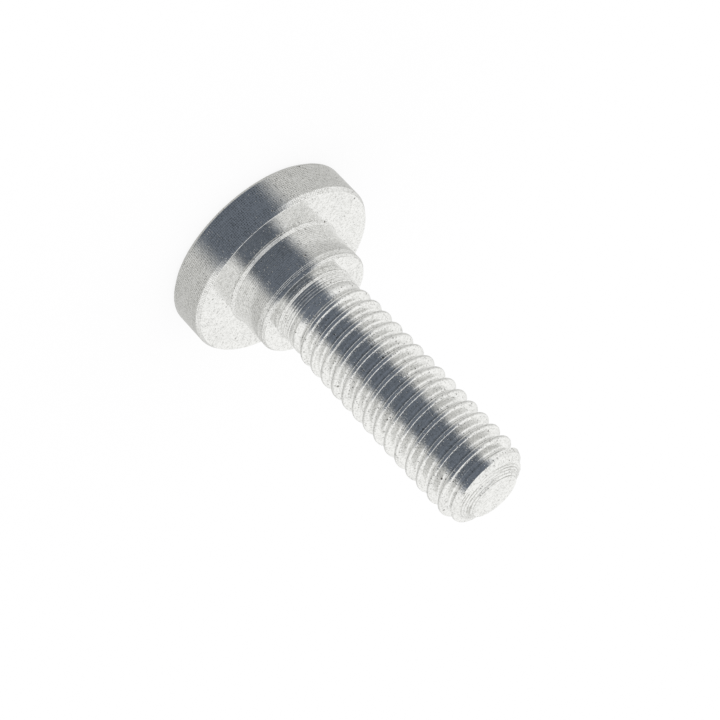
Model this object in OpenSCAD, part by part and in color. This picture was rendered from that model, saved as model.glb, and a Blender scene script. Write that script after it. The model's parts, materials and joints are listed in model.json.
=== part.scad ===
// Shoulder bolt with a thin round head, a short plain shoulder and a metric thread.
// It stands on the outer face of its head, with its axis on +Z and the thread's tip up.
// It is turned from one bar of steel, and the thread is rolled on afterwards.

/* [Head] */
// Diameter of the head
head_d = 13.05; // [12.5:0.05:17]
// Thickness of the head
head_t = 2.7; // [1.4:0.1:4]
// Bevel round both edges of the head's rim
head_bevel = 0.2; // [0.1:0.05:0.5]

/* [Socket] */
// Width of the hexagon socket across its flats
socket_af = 4; // [2.5:0.5:4.5]
// Depth of the socket's flat walls below the head's outer face
socket_depth = 2.2; // [1.5:0.1:2.6]
// Width of the bevel round the socket's mouth, beyond the hexagon's corners
socket_bevel = 0.15; // [0.05:0.05:0.4]

/* [Shoulder] */
// Diameter of the shoulder
shoulder_d = 7.8; // [7:0.1:10]
// Length of the shoulder, from under the head to its end face
shoulder_l = 3; // [2.5:0.1:12]
// Bevel round the shoulder's end
shoulder_bevel = 0.15; // [0.1:0.05:0.5]
// Radius of the fillet between the head and the shoulder
shoulder_fillet = 0.25; // [0.1:0.05:0.5]

/* [Thread] */
// Diameter over the thread's crests
crest_d = 5.85; // [5.6:0.05:6.2]
// Depth of the thread, from its crest to its root
thread_h = 0.525; // [0.45:0.025:0.65]
// Pitch of the right-hand thread
pitch = 1; // [0.9:0.05:1.25]
// Angle between the two flanks of a groove
thread_angle = 60; // [55:1:62]
// Length of the threaded end, from the neck to the tip's flat face
thread_l = 15.8; // [6:0.1:40]
// Turns over which the thread rises out of the neck
rise_turns = 1.5; // [0.5:0.25:2.5]
// Direction in which the thread starts, as an angle from +X
thread_start = 260; // [0:5:355]
// Flat sides in each turn of the thread
turn_sides = 36; // [24:4:48]

/* [Neck] */
// Length of the neck, from the shoulder to where the thread starts to rise
neck_l = 1.1; // [0.6:0.1:4]
// Radius of the fillet between the shoulder and the neck
neck_fillet = 0.25; // [0.1:0.05:0.4]

/* [Tip] */
// Diameter of the flat face at the tip
tip_d = 3.25; // [2.5:0.05:4.2]
// Diameter at the foot of the tip's blunt cone
cone_d = 5.2; // [4.6:0.1:5.4]
// Length of the tip's blunt cone
cone_l = 0.55; // [0.3:0.05:1]
// Length over which the last crests shrink towards the cone's foot
lead_l = 0.9; // [0.5:0.1:2]

/* [Hidden] */
$fn = 96;
// Length by which one section of the bolt enters the next
overlap = 0.4;
// Step by which the thread's many-sided core lies inside the round neck
core_step = 0.02;

head_r = head_d / 2;
shoulder_r = shoulder_d / 2;
crest_r = crest_d / 2;
root_r = crest_r - thread_h;
tip_r = tip_d / 2;
cone_r = cone_d / 2;
// Rolling sinks the groove into the plain bar by as much as it raises the crest out of it
neck_r = crest_r - thread_h / 2;
core_r = neck_r - core_step;

shoulder_end = head_t + shoulder_l;
neck_end = shoulder_end + neck_l;
tip_end = neck_end + thread_l;
// The fillet leaves at least half of the shoulder's end face flat
neck_fillet_r = min(neck_fillet, (shoulder_r - shoulder_bevel - neck_r) / 2);

// The hexagon's corners, the rim of the bevel round its mouth, and the hole drilled for it
socket_r = socket_af / 2 / cos(30);
mouth_r = socket_r + socket_bevel;
drill_r = socket_af / 2 - 0.3;

// One pitch of the thread's form, as radius and height: root, crest, crest, root
flank_l = thread_h * tan(thread_angle / 2);
crest_w = pitch / 2 - flank_l;
form = [
    [root_r, 0],
    [crest_r, flank_l],
    [crest_r, flank_l + crest_w],
    [root_r, flank_l + crest_w + flank_l]
];
corners = len(form);

// The helix starts wholly inside the neck, and runs on past the tip to be cut off there
helix_start = neck_end - pitch - overlap;
helix_steps = turn_sides * ceil((tip_end + pitch - helix_start) / pitch);
last_step = helix_steps - turn_sides;

// Height of a corner of the form, a number of steps up the helix
function height(step, corner) = helix_start + pitch * step / turn_sides + form[corner][1];

// How far the thread has risen at a step, from 0 in the neck to 1 where it is whole
function rise(step) =
    let (
        turns = (height(step, 1) + crest_w / 2 - neck_end) / pitch,
        part = max(0, min(1, turns / rise_turns))
    )
    part * part * (3 - 2 * part);

function surface_point(step, corner) =
    let (
        angle = thread_start + 360 * step / turn_sides,
        r = core_r + (form[corner][0] - core_r) * rise(step)
    )
    [r * cos(angle), r * sin(angle), height(step, corner)];

// The corner after a form's last one is the first corner of the turn above
function index(step, corner) =
    corner < corners ? step * corners + corner : (step + turn_sides) * corners;

// The whole thread and its core: one closed surface with a shallow cone at each end
module threaded_rod() {
    points = [
        for (step = [0:helix_steps], corner = [0:corners - 1]) surface_point(step, corner)
    ];
    low = len(points);
    high = low + 1;
    ends = [[0, 0, helix_start], [0, 0, height(helix_steps, 0)]];
    turns = [
        for (step = [0:last_step - 1], corner = [0:corners - 1])
        [
            index(step, corner),
            index(step, corner + 1),
            index(step + 1, corner + 1),
            index(step + 1, corner)
        ]
    ];
    low_end = [
        for (step = [0:turn_sides - 1]) [low, index(step, 0), index(step + 1, 0)],
        for (corner = [0:corners - 1]) [low, index(0, corner + 1), index(0, corner)]
    ];
    high_end = [
        for (step = [last_step:helix_steps - 1]) [high, index(step + 1, 0), index(step, 0)],
        for (corner = [0:corners - 1])
        [high, index(last_step, corner), index(last_step, corner + 1)]
    ];
    polyhedron(points = concat(points, ends), faces = concat(turns, low_end, high_end));
}

// What the lead, the blunt cone and the flat face leave of the rod
module tip_form() {
    clear_r = crest_r + 1;
    cone_foot = tip_end - cone_l;
    lead_slope = lead_l / (crest_r - cone_r);
    rotate_extrude()
    polygon([
        [0, helix_start - 1],
        [clear_r, helix_start - 1],
        [clear_r, cone_foot - (clear_r - cone_r) * lead_slope],
        [cone_r, cone_foot],
        [tip_r, tip_end],
        [0, tip_end]
    ]);
}

// Fills the inner corner between a shaft and the face that it stands on
module foot_fillet(shaft_r, face_z, fillet_r) {
    rotate_extrude()
    difference() {
        translate([shaft_r - overlap, face_z - overlap])
        square(overlap + fillet_r);
        translate([shaft_r + fillet_r, face_z + fillet_r])
        circle(r = fillet_r);
    }
}

module head() {
    color("silver")
    rotate_extrude()
    polygon([
        [0, 0],
        [head_r - head_bevel, 0],
        [head_r, head_bevel],
        [head_r, head_t - head_bevel],
        [head_r - head_bevel, head_t],
        [0, head_t]
    ]);
}

module shoulder() {
    color("gainsboro") {
        rotate_extrude()
        polygon([
            [0, head_t - overlap],
            [shoulder_r, head_t - overlap],
            [shoulder_r, shoulder_end - shoulder_bevel],
            [shoulder_r - shoulder_bevel, shoulder_end],
            [0, shoulder_end]
        ]);
        foot_fillet(shoulder_r, head_t, shoulder_fillet);
    }
}

module neck() {
    color("darkgray") {
        translate([0, 0, shoulder_end - overlap])
        cylinder(r = neck_r, h = neck_l + overlap);
        foot_fillet(neck_r, shoulder_end, neck_fillet_r);
    }
}

module thread() {
    color("lightgray")
    intersection() {
        threaded_rod();
        tip_form();
    }
}

// The space of the socket: the hexagon, the bevel round its mouth and the drilled hole's end
module socket() {
    color("dimgray") {
        translate([0, 0, -overlap])
        cylinder(r = socket_r, h = overlap + socket_depth, $fn = 6);
        translate([0, 0, -overlap])
        cylinder(r1 = mouth_r + overlap, r2 = drill_r, h = overlap + mouth_r - drill_r);
        rotate_extrude()
        polygon([
            [0, socket_depth - overlap],
            [drill_r, socket_depth - overlap],
            [drill_r, socket_depth],
            [0, socket_depth + drill_r * tan(30)]
        ]);
    }
}

module bolt() {
    difference() {
        union() {
            head();
            shoulder();
            neck();
            thread();
        }
        socket();
    }
}

bolt();
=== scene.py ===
import json
from collections import Counter
from math import atan2, cos, hypot, radians, tan, tau

import bpy
from mathutils import Euler, Matrix, Vector


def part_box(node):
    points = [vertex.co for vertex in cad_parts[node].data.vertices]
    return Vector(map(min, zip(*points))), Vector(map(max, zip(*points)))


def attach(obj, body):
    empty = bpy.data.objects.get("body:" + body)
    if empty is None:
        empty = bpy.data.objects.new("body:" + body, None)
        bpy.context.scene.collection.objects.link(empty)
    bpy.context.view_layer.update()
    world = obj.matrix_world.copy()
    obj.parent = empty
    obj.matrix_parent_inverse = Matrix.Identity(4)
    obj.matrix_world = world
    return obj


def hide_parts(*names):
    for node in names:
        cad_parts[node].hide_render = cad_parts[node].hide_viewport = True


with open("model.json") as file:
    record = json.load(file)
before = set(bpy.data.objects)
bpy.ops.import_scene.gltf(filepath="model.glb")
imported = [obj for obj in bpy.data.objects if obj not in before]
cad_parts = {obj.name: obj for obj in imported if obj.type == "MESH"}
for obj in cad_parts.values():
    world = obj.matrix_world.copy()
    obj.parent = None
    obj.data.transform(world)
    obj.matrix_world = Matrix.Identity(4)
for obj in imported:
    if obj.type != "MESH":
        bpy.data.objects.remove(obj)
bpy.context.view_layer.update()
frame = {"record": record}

MM = 0.001


# ---------------------------------------------------------------- sizes

MOUNTS = {mount["name"]: mount for mount in frame["record"]["mounts"]}
LOW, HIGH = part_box("bolt")


def mount_height(name):
    return MOUNTS[name]["pos_m"][2]


def mount_radius(name):
    return MOUNTS[name]["dims"]["r_mm"] * MM


HEAD_RADIUS = (HIGH.x - LOW.x) / 2
HEAD_TOP = mount_height("under_head")
HEAD_LOW_BEVEL = 0.25 * MM
HEAD_BEVEL_IN = 0.18 * MM
HEAD_BEVEL_DOWN = 0.28 * MM

SHOULDER_RADIUS = mount_radius("shoulder")
SHOULDER_TOP = mount_height("shoulder_end")
SHOULDER_BEVEL_IN = 0.12 * MM
SHOULDER_BEVEL_DOWN = 0.17 * MM
# The turned slope at the foot of the shoulder and of the neck: width and whole height
SHOULDER_FOOT = (0.17 * MM, 0.19 * MM)
NECK_FOOT = (0.13 * MM, 0.145 * MM)
FOOT_STEP = 0.02 * MM

CREST_RADIUS = mount_radius("thread")
THREAD_DEPTH = 0.525 * MM
ROOT_RADIUS = CREST_RADIUS - THREAD_DEPTH
NECK_RADIUS = CREST_RADIUS - THREAD_DEPTH / 2
NECK_TOP = SHOULDER_TOP + 1.1 * MM
PITCH = 1.0 * MM
FLANK_ANGLE = radians(30)
FLANK_RISE = THREAD_DEPTH * tan(FLANK_ANGLE)
CREST_WIDTH = PITCH / 2 - FLANK_RISE
RISE_TURNS = 1.5
RISE_POWER = 1.5
THREAD_START = radians(260)
# How far below the neck's top the lowest turn lies hidden
FIRST_TURN_DROP = 0.4 * MM
CREST_TAPER = 0.0186 / MM

TIP = HIGH.z
TIP_RADIUS = 1.625 * MM
CHAMFER_RADIUS = 1.88 * MM
CHAMFER_FOOT = TIP - 0.23 * MM
BLUNT_RADIUS = 2.2 * MM
BLUNT_FOOT = TIP - 0.46 * MM
CONE_RADIUS = 2.6 * MM
CONE_FOOT = TIP - 0.55 * MM
LEAD_LENGTH = 0.9 * MM

SOCKET_CORNER = 4.0 * MM / 2 / cos(radians(30))
SOCKET_DEPTH = MOUNTS["hex_socket"]["dims"]["length_mm"] * MM
SOCKET_MOUTH = SOCKET_CORNER + 0.15 * MM
DRILL_RADIUS = 1.7 * MM
DRILL_ANGLE = radians(30)
DRILL_OVERLAP = 0.1 * MM

# Where the turned blank ends and the rolled thread's surface begins, in the plain neck
NECK_CUT = NECK_TOP - 0.06 * MM
EDGE_ROUNDING = 0.025 * MM
TIP_EDGE_ROUNDING = 0.02 * MM
HOLD_GAP = 0.03 * MM
# The crest is rounded more on its tip side than on its head side
LIP_ROUNDINGS = (0.08 * MM, 0.07 * MM)
ROOT_ROUNDING = 0.09 * MM
BRIDGE_GAP = 0.05 * MM
# Turned grooves: height, half width and depth
NECK_GROOVES = [
    (SHOULDER_TOP + (0.3 + 0.19 * i) * MM, 0.06 * MM, 0.05 * MM) for i in range(4)
]
SHOULDER_GROOVES = [
    (SHOULDER_TOP + offset * MM, 0.045 * MM, 0.022 * MM) for offset in (-0.52, -0.42, -0.31)
]
STEPS = 160
SHARP_ANGLE = radians(25)
# How near two places are when they count as one
TOUCH = 0.001 * MM


# ---------------------------------------------------------------- modelling helpers


def deselect():
    bpy.ops.object.select_all(action="DESELECT")


def activate(piece):
    deselect()
    piece.select_set(True)
    bpy.context.view_layer.objects.active = piece


def edit(piece, element="VERT"):
    activate(piece)
    bpy.ops.object.mode_set(mode="EDIT")
    bpy.ops.mesh.select_mode(type=element)
    bpy.ops.mesh.select_all(action="DESELECT")


def leave_edit():
    bpy.ops.object.mode_set(mode="OBJECT")


def draw_outline(name, points):
    """Draws an open line of edges through (radius, height) points, in the plane y = 0."""
    deselect()
    first = points[0]
    bpy.ops.mesh.primitive_plane_add(size=MM, location=(first[0], 0, first[1]))
    line = bpy.context.active_object
    line.name = name
    bpy.ops.object.transform_apply(location=True, rotation=True, scale=True)
    edit(line)
    bpy.ops.mesh.select_all(action="SELECT")
    bpy.ops.mesh.merge(type="CENTER")
    for before, after in zip(points, points[1:]):
        move = (after[0] - before[0], 0, after[1] - before[1])
        bpy.ops.mesh.extrude_region_move(TRANSFORM_OT_translate={"value": move})
    leave_edit()
    return line


def select_vertices(piece, wanted):
    """Opens the piece for editing with only the wanted vertices selected."""
    edit(piece)
    leave_edit()
    for vertex in piece.data.vertices:
        vertex.select = wanted(vertex.co)
    bpy.ops.object.mode_set(mode="EDIT")


def round_corners(line, corners, size, segments):
    """Rounds an outline at the given (radius, height) corners."""
    select_vertices(
        line,
        lambda co: any(hypot(co.x - c[0], co.z - c[1]) < TOUCH for c in corners),
    )
    bpy.ops.mesh.bevel(offset=size, segments=segments, affect="VERTICES")
    leave_edit()


# A hold is left out where it would pass this part of the side it lies on
MOST_OF_SIDE = 0.45


def with_holds(points, sizes):
    """Adds a point on each side of a corner to be rounded, so that what lies between stays flat."""
    held = []
    for i, point in enumerate(points):
        size = sizes.get(point)
        if size is None:
            held.append(point)
            continue
        for other, first in ((points[i - 1], True), (points[i + 1], False)):
            length = hypot(other[0] - point[0], other[1] - point[1])
            part = (size + HOLD_GAP) / length
            hold = tuple(a + (b - a) * part for a, b in zip(point, other))
            if part < MOST_OF_SIDE:
                held.append(hold)
            if first:
                held.append(point)
    return held


def spin_outline(line):
    """Turns an outline round the bolt's axis into a surface, with its poles merged."""
    edit(line)
    bpy.ops.mesh.select_all(action="SELECT")
    bpy.ops.mesh.spin(steps=STEPS, angle=tau, center=(0, 0, 0), axis=(0, 0, 1))
    bpy.ops.mesh.select_all(action="SELECT")
    bpy.ops.mesh.remove_doubles(threshold=TOUCH)
    bpy.ops.mesh.normals_make_consistent(inside=False)
    leave_edit()


def apply_modifier(piece, kind, **settings):
    activate(piece)
    bpy.ops.object.modifier_add(type=kind)
    modifier = piece.modifiers[-1]
    for setting, value in settings.items():
        setattr(modifier, setting, value)
    bpy.ops.object.modifier_apply(modifier=modifier.name)


# ---------------------------------------------------------------- the turned blank


def grooves(radius, places):
    """The outline points of fine turned grooves, each with a height, a half width and a depth."""
    points = []
    for height, half_width, depth in places:
        points.append((radius, height - half_width))
        points.append((radius - depth, height))
        points.append((radius, height + half_width))
    return points


def foot(radius, base, width, height):
    """The outline points at a foot: a low step and a slope up to the wall."""
    return [(radius + width, base), (radius + width, base + FOOT_STEP), (radius, base + height)]


def turned_blank():
    """Head, shoulder and neck, turned from one outline and open at the neck's end."""
    rim = [
        (HEAD_RADIUS - HEAD_LOW_BEVEL, 0),
        (HEAD_RADIUS, HEAD_LOW_BEVEL),
        (HEAD_RADIUS, HEAD_TOP - HEAD_BEVEL_DOWN),
        (HEAD_RADIUS - HEAD_BEVEL_IN, HEAD_TOP),
    ]
    shoulder_foot = foot(SHOULDER_RADIUS, HEAD_TOP, *SHOULDER_FOOT)
    end = [
        (SHOULDER_RADIUS, SHOULDER_TOP - SHOULDER_BEVEL_DOWN),
        (SHOULDER_RADIUS - SHOULDER_BEVEL_IN, SHOULDER_TOP),
    ]
    neck_foot = foot(NECK_RADIUS, SHOULDER_TOP, *NECK_FOOT)
    shoulder_lines = grooves(SHOULDER_RADIUS, SHOULDER_GROOVES)
    neck_lines = grooves(NECK_RADIUS, NECK_GROOVES)
    corners = [(0, 0)] + rim + shoulder_foot + shoulder_lines + end + neck_foot + neck_lines
    corners.append((NECK_RADIUS, NECK_CUT))
    sizes = {corner: EDGE_ROUNDING for corner in rim + end}
    blank = draw_outline("bolt_body", with_holds(corners, sizes))
    round_corners(blank, rim + end, EDGE_ROUNDING, 3)
    spin_outline(blank)
    edit(blank, "EDGE")
    bpy.ops.mesh.select_non_manifold()
    bpy.ops.mesh.edge_face_add()
    leave_edit()
    return blank


def socket_cutter(vertices, wide, narrow, low, high):
    """A cone or prism on the bolt's axis, from its wide end at low to its narrow end at high."""
    deselect()
    bpy.ops.mesh.primitive_cone_add(
        vertices=vertices,
        radius1=wide,
        radius2=narrow,
        depth=high - low,
        location=(0, 0, (low + high) / 2),
    )
    return bpy.context.active_object


def cut_socket(blank):
    """Cuts the hexagon, the bevel round its mouth and the drilled hole's end into the head."""
    below = -1 * MM
    mouth = SOCKET_MOUTH
    drill_slope = 1 / tan(DRILL_ANGLE)
    cutters = [
        socket_cutter(6, SOCKET_CORNER, SOCKET_CORNER, below, SOCKET_DEPTH),
        socket_cutter(STEPS, mouth - below, DRILL_RADIUS, below, mouth - DRILL_RADIUS),
        socket_cutter(
            STEPS,
            DRILL_RADIUS + DRILL_OVERLAP * drill_slope,
            0,
            SOCKET_DEPTH - DRILL_OVERLAP,
            SOCKET_DEPTH + DRILL_RADIUS / drill_slope,
        ),
    ]
    for cutter in cutters:
        apply_modifier(blank, "BOOLEAN", operation="DIFFERENCE", object=cutter, solver="EXACT")
        bpy.data.objects.remove(cutter)


# ---------------------------------------------------------------- the rolled thread

# Height of the lowest crest's middle on the +X side, and of the root's middle below it
CREST_START = NECK_TOP - FIRST_TURN_DROP - PITCH * (1 + THREAD_START / tau)
CREST_START += FLANK_RISE + CREST_WIDTH / 2
ROOT_START = CREST_START - PITCH / 2


def thread_form():
    """One pitch of the rolled thread, from the middle of a root to the middle of the next."""
    root_half = (PITCH - CREST_WIDTH - 2 * FLANK_RISE) / 2
    crest_low = root_half + FLANK_RISE
    crest_high = crest_low + CREST_WIDTH
    feet = [(ROOT_RADIUS, root_half), (ROOT_RADIUS, PITCH - root_half)]
    lips = [(CREST_RADIUS, crest_low), (CREST_RADIUS, crest_high)]
    corners = [(ROOT_RADIUS, 0), feet[0], lips[0], lips[1], feet[1], (ROOT_RADIUS, PITCH)]
    sizes = {corner: ROOT_ROUNDING for corner in feet}
    sizes.update(zip(lips, LIP_ROUNDINGS))
    line = draw_outline("thread", [(r, ROOT_START + z) for r, z in with_holds(corners, sizes)])
    round_corners(line, [(r, ROOT_START + z) for r, z in feet], ROOT_ROUNDING, 4)
    for (r, z), rounding in zip(lips, LIP_ROUNDINGS):
        round_corners(line, [(r, ROOT_START + z)], rounding, 5)
    return line


def rise(height):
    """How far the thread has risen out of the neck, from 0 to 1."""
    part = min(1, max(0, (height - NECK_TOP) / (RISE_TURNS * PITCH)))
    return 1 - (1 - part) ** RISE_POWER


def crest_growth(height):
    """The crests stand a little lower towards the neck than at the tip."""
    return 1 - CREST_TAPER * max(0, CONE_FOOT - 1.5 * PITCH - height)


def tip_limit(height):
    """The lead, the blank's cone and the turned chamfer, as the largest radius at a height."""
    outline = [
        (CONE_FOOT - LEAD_LENGTH, CREST_RADIUS),
        (CONE_FOOT, CONE_RADIUS),
        (BLUNT_FOOT, BLUNT_RADIUS),
        (CHAMFER_FOOT, CHAMFER_RADIUS),
        (TIP, TIP_RADIUS),
    ]
    for (low, wide), (high, narrow) in zip(outline, outline[1:]):
        if height < high or high == TIP:
            return wide + (height - low) * (narrow - wide) / (high - low)


def rolled_thread():
    """The helical surface from the neck to the tip's flat face."""
    thread = thread_form()
    turns = int((TIP - ROOT_START) / PITCH) + 1
    apply_modifier(
        thread,
        "SCREW",
        angle=tau,
        screw_offset=PITCH,
        iterations=turns,
        steps=STEPS,
        render_steps=STEPS,
        use_merge_vertices=False,
        use_smooth_shade=True,
    )
    edit(thread)
    bpy.ops.mesh.select_all(action="SELECT")
    bpy.ops.mesh.remove_doubles(threshold=0.0005 * MM)
    leave_edit()
    for vertex in thread.data.vertices:
        co = vertex.co
        radius = hypot(co.x, co.y)
        depth = (radius - NECK_RADIUS) * rise(co.z)
        if depth > 0:
            depth *= crest_growth(co.z)
        shaped = min(NECK_RADIUS + depth, tip_limit(co.z))
        co.x *= shaped / radius
        co.y *= shaped / radius
    trim(thread, NECK_CUT + BRIDGE_GAP, above=False)
    trim(thread, TIP, above=True)
    select_vertices(thread, stray_ring_point)
    bpy.ops.mesh.dissolve_verts()
    leave_edit()
    return thread


def stray_ring_point(place):
    """True for the points that the lower cut left between the surface's columns."""
    columns = atan2(place.y, place.x) / tau * STEPS
    at_cut = abs(place.z - NECK_CUT - BRIDGE_GAP) < TOUCH
    return at_cut and abs(columns - round(columns)) > 0.001


def trim(piece, height, above):
    """Cuts the piece off at a level plane, and drops what is above or below it."""
    edit(piece)
    bpy.ops.mesh.select_all(action="SELECT")
    bpy.ops.mesh.bisect(
        plane_co=(0, 0, height),
        plane_no=(0, 0, 1),
        clear_outer=above,
        clear_inner=not above,
        threshold=0.0001 * MM,
    )
    bpy.ops.mesh.select_all(action="SELECT")
    bpy.ops.mesh.remove_doubles(threshold=0.003 * MM)
    leave_edit()


# ---------------------------------------------------------------- the whole bolt


def make_bolt():
    """One closed mesh: the blank's neck is open at its top, and the thread is joined on there."""
    bolt = turned_blank()
    cut_socket(bolt)
    edit(bolt, "FACE")
    leave_edit()
    for face in bolt.data.polygons:
        face.select = abs(face.center.z - NECK_CUT) < TOUCH and len(face.vertices) > 4
    bpy.ops.object.mode_set(mode="EDIT")
    bpy.ops.mesh.delete(type="ONLY_FACE")
    leave_edit()
    thread = rolled_thread()
    deselect()
    thread.select_set(True)
    bolt.select_set(True)
    bpy.context.view_layer.objects.active = bolt
    bpy.ops.object.join()
    close_ring(bolt, TIP, TIP)
    soften_tip_edge(bolt)
    close_ring(bolt, NECK_CUT, NECK_CUT + BRIDGE_GAP)
    edit(bolt)
    bpy.ops.mesh.select_all(action="SELECT")
    bpy.ops.mesh.normals_make_consistent(inside=False)
    leave_edit()
    return bolt


def soften_tip_edge(piece):
    """Sets a flat ring just inside the edge of the tip's flat face, so that the face itself stays
    flat.
    """
    edit(piece, "FACE")
    leave_edit()
    for face in piece.data.polygons:
        face.select = face.center.z > TIP - TOUCH
    bpy.ops.object.mode_set(mode="EDIT")
    bpy.ops.mesh.extrude_region_move(TRANSFORM_OT_translate={"value": (0, 0, 0)})
    inner = 1 - (TIP_EDGE_ROUNDING + HOLD_GAP) / TIP_RADIUS
    bpy.ops.transform.resize(value=(inner, inner, 1), center_override=(0, 0, TIP))
    leave_edit()


def close_ring(piece, low, high):
    """Fills the open ring at one height, or bridges the open rings at two."""
    reach = 0.01 * MM
    faces_beside = Counter(key for face in piece.data.polygons for key in face.edge_keys)
    places = piece.data.vertices
    edit(piece, "EDGE")
    leave_edit()
    for edge in piece.data.edges:
        heights = [places[v].co.z for v in edge.vertices]
        near = min(heights) > low - reach and max(heights) < high + reach
        edge.select = near and faces_beside[edge.key] == 1
    bpy.ops.object.mode_set(mode="EDIT")
    if low == high:
        bpy.ops.mesh.edge_face_add()
    else:
        bpy.ops.mesh.bridge_edge_loops()
    leave_edit()


# ---------------------------------------------------------------- nodes


class Nodes:
    """Adds and joins the nodes of one material or world."""

    def __init__(self, tree):
        self.tree = tree

    def add(self, kind, settings=None, **inputs):
        node = self.tree.nodes.new("ShaderNode" + kind)
        for name, value in (settings or {}).items():
            setattr(node, name, value)
        for name, value in inputs.items():
            self.feed(node, name.replace("_", " "), value)
        return node

    def feed(self, node, name, value):
        slot = node.inputs[int(name[5:])] if name.startswith("slot ") else node.inputs[name]
        self.feed_slot(slot, value)

    def feed_slot(self, slot, value):
        if isinstance(value, bpy.types.NodeSocket):
            self.tree.links.new(value, slot)
        else:
            slot.default_value = value

    def math(self, operation, *values):
        node = self.add("Math", {"operation": operation})
        for slot, value in zip(node.inputs, values):
            self.feed_slot(slot, value)
        return node.outputs[0]

    def plus(self, *values):
        return self.math("ADD", *values)

    def times(self, *values):
        return self.math("MULTIPLY", *values)

    def sine(self, value):
        return self.math("SINE", value)

    def noise(self, place, scale, detail, roughness):
        node = self.add(
            "TexNoise", Vector=place, Scale=scale, Detail=detail, Roughness=roughness
        )
        return node.outputs["Fac"]

    def vector(self, operation, first, second):
        """A vector worked out from another and a second vector, or a number for SCALE."""
        node = self.add("VectorMath", {"operation": operation}, slot_0=first)
        self.feed(node, "Scale" if operation == "SCALE" else "slot 1", second)
        return node

    def blend(self, factor, first, second):
        node = self.add("Mix", {"data_type": "RGBA"})
        for name, value in (("Factor", factor), ("A", first), ("B", second)):
            slot = next(s for s in node.inputs if s.name == name and s.enabled)
            if isinstance(value, tuple) and len(value) == 3:
                value = (*value, 1)
            self.feed_slot(slot, value)
        return next(s for s in node.outputs if s.enabled)

    def span(self, value, low, high, start=0, end=1, smooth=True):
        """Maps a range of a value onto another, and holds it at both ends."""
        node = self.add("MapRange", {"interpolation_type": "SMOOTHSTEP" if smooth else "LINEAR"})
        limits = {"From Min": low, "From Max": high, "To Min": start, "To Max": end}
        for name, number in limits.items():
            node.inputs[name].default_value = number
        self.feed_slot(node.inputs["Value"], value)
        return node.outputs[0]


# ---------------------------------------------------------------- the studio


FLOOR_SIZE = 1.2
FLOOR_TONE = 0.12
FLOOR_ROUGHNESS = 0.8


def add_floor():
    """A pale floor: white to the eye, and dull to the metal that stands on it."""
    bpy.ops.mesh.primitive_plane_add(size=FLOOR_SIZE, location=(0, 0, 0))
    floor = bpy.context.active_object
    floor.name = "studio_floor"
    floor.visible_glossy = False
    paint = bpy.data.materials.new("studio_floor")
    paint.use_nodes = True
    nodes = Nodes(paint.node_tree)
    shader = paint.node_tree.nodes["Principled BSDF"]
    shader.inputs["Base Color"].default_value = (FLOOR_TONE, FLOOR_TONE, FLOOR_TONE, 1)
    shader.inputs["Roughness"].default_value = FLOOR_ROUGHNESS
    shader.inputs["Specular IOR Level"].default_value = 0
    shader.inputs["Emission Color"].default_value = (1, 1, 1, 1)
    eye = nodes.add("LightPath").outputs["Is Camera Ray"]
    nodes.feed(shader, "Emission Strength", nodes.times(eye, 1 - FLOOR_TONE))
    floor.data.materials.append(paint)


# What the metal mirrors: walls that are palest at the top, and one soft dark card in front. The
# places are in degrees: up from the horizon, and to each side of the front
LOW_WALLS = (0.55, 0.55, 0.53)
HIGH_WALLS = (0.95, 0.95, 0.93)
WALLS_FROM = -45
WALLS_TO = 15
DARK_CARD = (0.14, 0.16, 0.19)
CARD_HALF_WIDTH = 35
CARD_TOP = 45
CARD_SOFTNESS = 30


def add_world():
    """A soft white studio, with one dark card in front that only metal shows."""
    world = bpy.data.worlds.new("studio")
    bpy.context.scene.world = world
    world.use_nodes = True
    nodes = Nodes(world.node_tree)
    background = world.node_tree.nodes["Background"]
    direction = nodes.add("TexCoord").outputs["Generated"]
    split = nodes.add("SeparateXYZ", Vector=direction)
    to_front = nodes.times(split.outputs["Y"], -1)
    around = nodes.math("DEGREES", nodes.math("ARCTAN2", split.outputs["X"], to_front))
    height = nodes.math("DEGREES", nodes.math("ARCSINE", split.outputs["Z"]))
    aside = nodes.math("ABSOLUTE", around)
    card = nodes.span(aside, CARD_HALF_WIDTH + CARD_SOFTNESS, CARD_HALF_WIDTH)
    card = nodes.times(card, nodes.span(height, CARD_TOP + CARD_SOFTNESS, CARD_TOP))
    walls = nodes.blend(nodes.span(height, WALLS_FROM, WALLS_TO), LOW_WALLS, HIGH_WALLS)
    mirrored = nodes.blend(card, walls, DARK_CARD)
    glossy = nodes.add("LightPath").outputs["Is Glossy Ray"]
    nodes.feed(background, "Color", nodes.blend(glossy, (1, 1, 1), mirrored))
    world.cycles.sampling_method = "NONE"


CAMERA_ELEVATION = 24.21
CAMERA_ROLL = 136.9
CAMERA_PLACE = Vector((6.299, -7.167, 158.209)) * MM
LENS = 128.85
SENSOR_WIDTH = 36
CLIP_START = 0.001


def add_camera():
    """Looks down at the bolt from the front, turned about its own line of sight."""
    lens = bpy.data.cameras.new("camera")
    lens.lens = LENS
    lens.sensor_width = SENSOR_WIDTH
    lens.clip_start = CLIP_START
    camera = bpy.data.objects.new("camera", lens)
    bpy.context.scene.collection.objects.link(camera)
    tilt = Euler((radians(90 - CAMERA_ELEVATION), 0, 0)).to_matrix()
    turn = tilt @ Matrix.Rotation(radians(CAMERA_ROLL), 3, "Z")
    camera.matrix_world = Matrix.Translation(turn @ CAMERA_PLACE) @ turn.to_4x4()
    bpy.context.scene.camera = camera


# ---------------------------------------------------------------- the zinc finish

ZINC_LIGHT = (0.96, 0.96, 0.955)
ZINC_DULL = (0.83, 0.835, 0.83)
ZINC_SPECK = (0.5, 0.5, 0.48)
NET_TONE = (0.25, 0.25, 0.235)
PIT_BROWN = (0.12, 0.11, 0.1)
# Spacing in mm of the tool's net on the turned faces, and of its rings on the point
NET_SPACING = 0.13
RING_SPACING = 0.24
NET_LINES_ROUND = 300
NET_JITTER = 9
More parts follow.
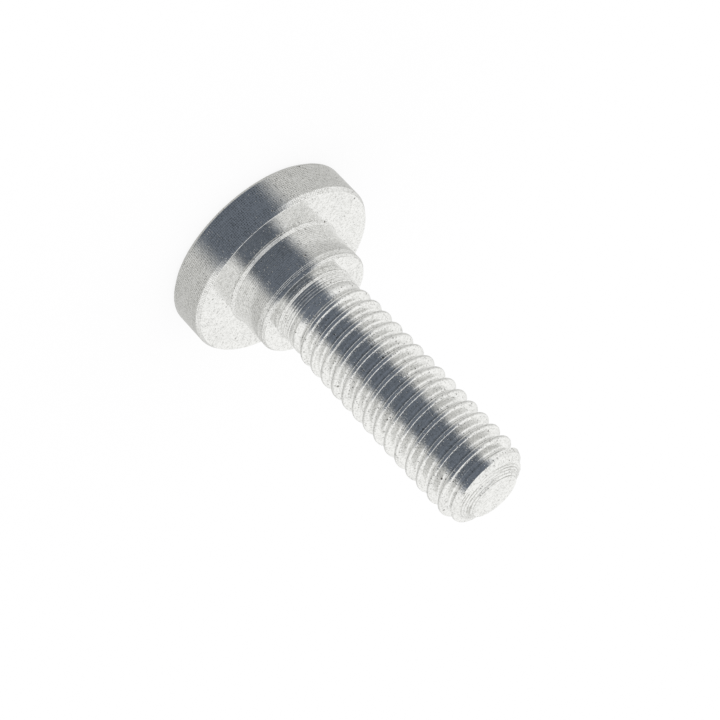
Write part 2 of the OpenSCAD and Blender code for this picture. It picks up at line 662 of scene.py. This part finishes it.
# Dots: how many a mm, the share of cells left empty, the largest size and the soft edge
PITS = (2.6, 0.75, 0.27, 0.12)
DUST = (7, 0.1, 0.5, 0.25)
BASE_ROUGHNESS = 0.07
# A quarter turn, so that the mirrored light is drawn out along the axis and not round it
SHEEN_ALONG_AXIS = 0.25
PIT_DEPTH = 0.02
# Each finish: its lines; their depth in mm and their tone; the grain's depth in mm; the tone of
# the dust; and how far the mirrored light is drawn out
FINISHES = {
    "zinc_turned": ("turned", 0.003, 0.15, 0.006, 0.7, 0.3),
    "zinc_rolled": ("rolled", 0.006, 0.25, 0.008, 0.95, 0.2),
    "zinc_broached": ("broached", 0.008, 0.3, 0.006, 0.5, 0.0),
    "zinc_faced": ("faced", 0.002, 0.2, 0.004, 0.6, 0.0),
    "zinc_pointed": ("pointed", 0.012, 0.7, 0.006, 0.7, 0.3),
}
TURNED, ROLLED, BROACHED, FACED, POINTED = range(5)
# How far up a face looks when it counts as flat, or as more than a wall of the socket
LEVEL = 0.98
NEARLY_LEVEL = 0.9


def dots(nodes, place, density, share, size, softness):
    """Scattered round dots, as a mask: some cells of a net have one, of up to the given size."""
    cells = nodes.add("TexVoronoi", Vector=place, Scale=density, Randomness=1.0)
    lot = nodes.add("SeparateColor", Color=cells.outputs["Color"])
    reach = nodes.span(lot.outputs["Red"], share, 1, 0, size, smooth=False)
    dot = nodes.span(nodes.math("SUBTRACT", reach, cells.outputs["Distance"]), 0, softness)
    return nodes.times(dot, nodes.span(lot.outputs["Green"], 0, 1, 0.35, 0.9, smooth=False))


def turned_lines(nodes, lines, axes, radius, grain):
    """Where a turned face's streaks lie, and its net or rings: long round the axis, fine across."""
    x, y, z = axes
    feed = nodes.math("SUBTRACT", z, radius)
    reach = nodes.math("MAXIMUM", radius, 0.05)
    track = nodes.add("CombineXYZ")
    nodes.feed(track, "X", nodes.times(nodes.math("DIVIDE", x, reach), 1.5))
    nodes.feed(track, "Y", nodes.times(nodes.math("DIVIDE", y, reach), 1.5))
    nodes.feed(track, "Z", nodes.times(feed, 9))
    if lines == "pointed":
        rings = nodes.sine(nodes.times(feed, tau / RING_SPACING))
        return track, nodes.span(rings, 0.4, 1, 0, 0.7)
    jitter = nodes.times(grain, NET_JITTER)
    across = nodes.sine(nodes.plus(nodes.times(feed, tau / NET_SPACING), jitter))
    turn = nodes.times(nodes.math("ARCTAN2", y, x), NET_LINES_ROUND)
    along = nodes.sine(nodes.plus(turn, jitter))
    return track, nodes.span(nodes.plus(across, along), 0.1, 1.5)


def rolled_track(nodes, axes):
    """Where a rolled face's streaks lie: they keep their place on the thread from turn to turn."""
    x, y, z = axes
    phase = nodes.math("SUBTRACT", nodes.times(z, tau), nodes.math("ARCTAN2", y, x))
    track = nodes.add("CombineXYZ")
    nodes.feed(track, "X", nodes.times(nodes.math("COSINE", phase), 3))
    nodes.feed(track, "Y", nodes.times(nodes.sine(phase), 3))
    nodes.feed(track, "Z", nodes.times(z, 0.3))
    return track


def zinc(name, lines, line_depth, streak_tone, grain_depth, dust_tone, sheen_width):
    """Bright zinc: mottled and speckled, with a tool's fine lines and small dark pits."""
    finish = bpy.data.materials.new(name)
    finish.use_nodes = True
    nodes = Nodes(finish.node_tree)
    shader = finish.node_tree.nodes["Principled BSDF"]
    place = nodes.vector("SCALE", nodes.add("TexCoord").outputs["Object"], 1 / MM)
    place = place.outputs["Vector"]
    split = nodes.add("SeparateXYZ", Vector=place)
    axes = [split.outputs[axis] for axis in "XYZ"]
    x, y = axes[:2]
    radius = nodes.math("SQRT", nodes.plus(nodes.times(x, x), nodes.times(y, y)))
    grain = nodes.noise(place, 6.5, 3, 0.7)
    net = None
    if lines in ("turned", "pointed"):
        track, net = turned_lines(nodes, lines, axes, radius, grain)
    elif lines == "rolled":
        track = rolled_track(nodes, axes)
    elif lines == "faced":
        track = nodes.vector("SCALE", place, 3.0)
    else:
        track = nodes.vector("MULTIPLY", place, (12, 12, 0.8))
    streaks = nodes.noise(track.outputs[0], 1.0, 3, 0.7)
    clouds = nodes.noise(place, 0.8, 4, 0.6)
    speckle = nodes.noise(place, 9, 2, 0.6)

    dull = nodes.span(clouds, 0.42, 0.66)
    speck = nodes.span(speckle, 0.52, 0.6)
    scuff = nodes.span(grain, 0.5, 0.64)
    streak = nodes.times(nodes.span(streaks, 0.52, 0.62), streak_tone)
    dust = nodes.span(clouds, 0.35, 0.62, dust_tone * 0.4, dust_tone)
    dust = nodes.times(dots(nodes, place, *DUST), dust)
    pit = nodes.math("MAXIMUM", dots(nodes, place, *PITS), dust)

    color = nodes.blend(nodes.times(dull, 0.3), ZINC_LIGHT, ZINC_DULL)
    color = nodes.blend(nodes.times(scuff, 0.4), color, ZINC_DULL)
    color = nodes.blend(nodes.times(speck, 0.5), color, ZINC_SPECK)
    color = nodes.blend(streak, color, ZINC_SPECK)
    if net is not None:
        worn = nodes.times(net, nodes.span(clouds, 0.3, 0.7, 1, 0.35))
        color = nodes.blend(worn, color, NET_TONE)
    color = nodes.blend(pit, color, PIT_BROWN)
    nodes.feed(shader, "Base Color", color)
    shader.inputs["Metallic"].default_value = 1
    rough = nodes.plus(BASE_ROUGHNESS, nodes.times(dull, 0.04))
    rough = nodes.plus(rough, nodes.times(scuff, 0.04))
    rough = nodes.plus(rough, nodes.times(pit, 0.08))
    nodes.feed(shader, "Roughness", rough)
    shader.inputs["Anisotropic"].default_value = sheen_width
    shader.inputs["Anisotropic Rotation"].default_value = SHEEN_ALONG_AXIS
    tangent = nodes.add("Tangent", {"direction_type": "RADIAL", "axis": "Z"})
    nodes.feed(shader, "Tangent", tangent.outputs["Tangent"])

    height = nodes.times(streaks, line_depth)
    height = nodes.plus(height, nodes.times(grain, grain_depth))
    height = nodes.plus(height, nodes.times(speckle, grain_depth * 0.6))
    if net is not None:
        height = nodes.math("SUBTRACT", height, nodes.times(net, grain_depth * 0.1))
    height = nodes.math("SUBTRACT", height, nodes.times(pit, PIT_DEPTH))
    bump = nodes.add("Bump", Height=height, Distance=MM, Strength=1.0)
    nodes.feed(shader, "Normal", bump.outputs["Normal"])
    return finish


def finish_faces(piece):
    """Gives the turned, rolled, broached and flat faces and the point their own finishes."""
    for name, finish in FINISHES.items():
        piece.data.materials.append(zinc(name, *finish))
    socket_top = HEAD_TOP + 2 * MM
    socket_foot = 0.01 * MM
    for face in piece.data.polygons:
        middle = face.center
        wide = hypot(middle.x, middle.y)
        across_socket = wide < SOCKET_MOUTH and socket_foot < middle.z < socket_top
        if across_socket and face.normal.z < NEARLY_LEVEL:
            in_socket = middle.z < SHOULDER_TOP and wide < NECK_RADIUS
            face.material_index = BROACHED if in_socket else TURNED
        elif NECK_CUT + BRIDGE_GAP / 2 < middle.z < BLUNT_FOOT:
            face.material_index = ROLLED
        elif abs(face.normal.z) > LEVEL:
            face.material_index = FACED
        elif middle.z > BLUNT_FOOT:
            face.material_index = POINTED


add_camera()
add_world()
add_floor()
bolt = make_bolt()
activate(bolt)
bpy.ops.object.shade_smooth_by_angle(angle=SHARP_ANGLE)
apply_modifier(bolt, "WEIGHTED_NORMAL", mode="FACE_AREA", weight=80, keep_sharp=True)
finish_faces(bolt)
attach(bolt, "root")
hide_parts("bolt")
scene = bpy.context.scene
scene.view_settings.view_transform = "Standard"
scene.cycles.use_denoising = False
